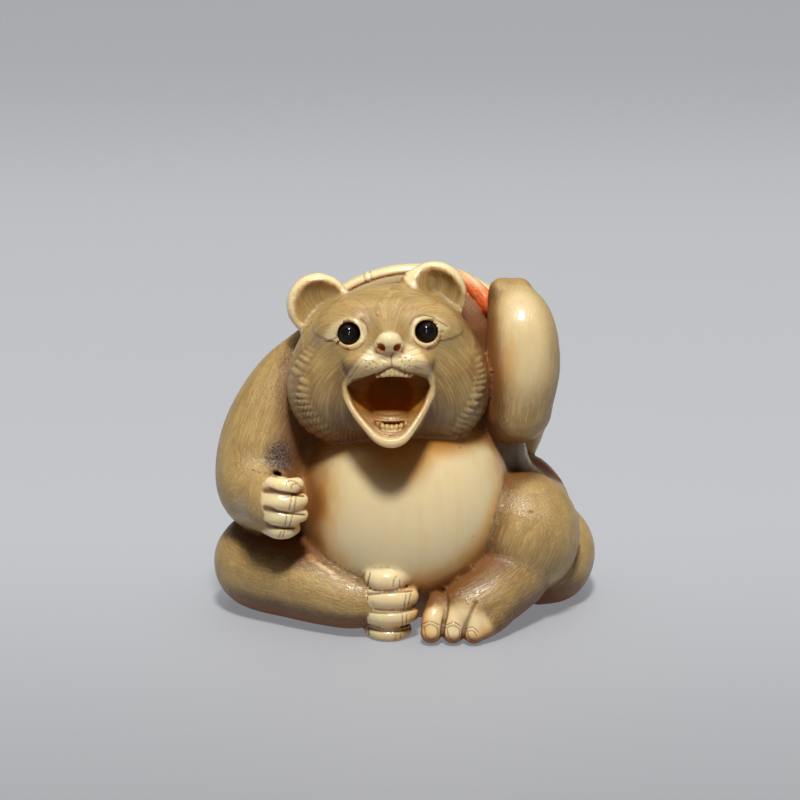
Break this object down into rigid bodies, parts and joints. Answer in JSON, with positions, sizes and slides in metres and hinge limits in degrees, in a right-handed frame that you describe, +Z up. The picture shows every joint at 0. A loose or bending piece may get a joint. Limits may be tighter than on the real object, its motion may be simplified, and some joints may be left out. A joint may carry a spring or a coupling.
{
  "type": "netsuke",
  "caption": "Small ivory carving of a seated raccoon dog with an open mouth, a fist on its knee, a raised paw and a sedge hat on its back.",
  "frame": {"origin": "on the ground, in the middle of the flat underside", "axes": "+Z up, the animal faces -Y, +X towards its left side, which is on the right as it is seen from the front"},
  "size_m": [0.038, 0.0289, 0.0352],
  "materials": {
    "ivory": "polished carved ivory with brown stain in its fur and grooves",
    "horn": "polished black horn"
  },
  "bodies": {
    "root": {"figure": "ivory", "eye_right": "horn", "eye_left": "horn"}
  },
  "joints": []
}
